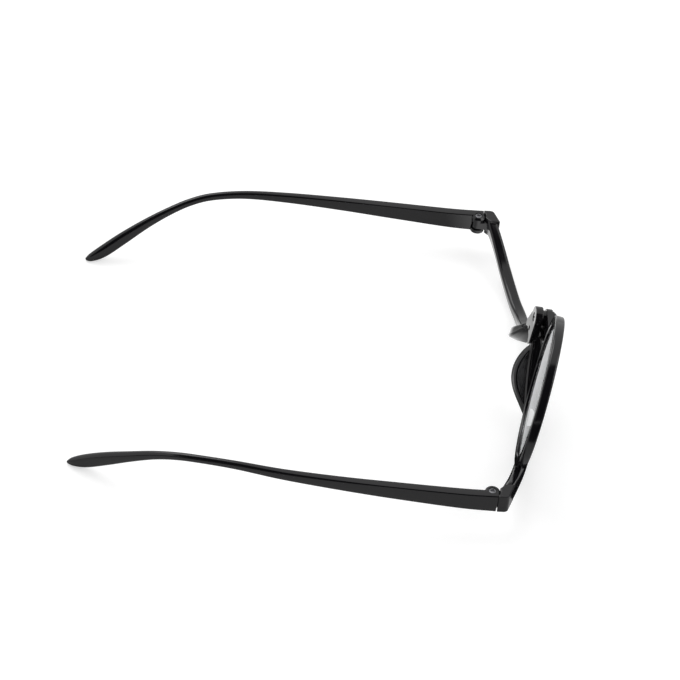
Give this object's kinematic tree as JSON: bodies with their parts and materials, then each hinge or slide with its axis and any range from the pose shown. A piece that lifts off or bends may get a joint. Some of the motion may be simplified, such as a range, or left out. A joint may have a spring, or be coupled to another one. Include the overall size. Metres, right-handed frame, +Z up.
{
  "type": "single-lens makeup glasses",
  "caption": "Makeup glasses: black half-rim front whose one round magnifying lens swings over the bridge from eye to eye, with two folding curved temples.",
  "frame": {"origin": "centre of the bounding box in X and Y, on the table at its underside", "axes": "+X towards the wearer's left, -Y out of the front of the glasses, +Y along the temples, +Z up"},
  "size_m": [0.1406, 0.1654, 0.0577],
  "materials": {
    "black_plastic": "glossy",
    "clear_lens": "clear",
    "steel": "satin",
    "brass": "satin"
  },
  "bodies": {
    "front": {"front_frame": "black_plastic", "pivot_screw": "steel", "friction_washer": "steel", "pivot_shim": "steel", "pivot_cap_nut": "steel"},
    "lens_carrier": {"lens_ring": "black_plastic", "magnifying_lens": "clear_lens", "pivot_sleeve": "brass"},
    "left_arm": {"left_temple": "black_plastic", "left_hinge_screw": "steel", "left_hinge_insert": "brass"},
    "right_arm": {"right_temple": "black_plastic", "right_hinge_screw": "steel", "right_hinge_insert": "brass"}
  },
  "joints": [
    {"name": "lens_swing", "type": "hinge", "parent": "front", "child": "lens_carrier", "pos_m": [0, -0.07768, 0.0315], "axis": [0, 0.9925, 0.1219], "range_deg": [0, 180]},
    {"name": "left_fold", "type": "hinge", "parent": "front", "child": "left_arm", "pos_m": [0.0675, -0.05948, 0.01265], "axis": [0, 0, 1], "range_deg": [0, 69]},
    {"name": "right_fold", "type": "hinge", "parent": "front", "child": "right_arm", "pos_m": [-0.0675, -0.05948, 0.01265], "axis": [0, 0, -1], "range_deg": [0, 84]}
  ]
}
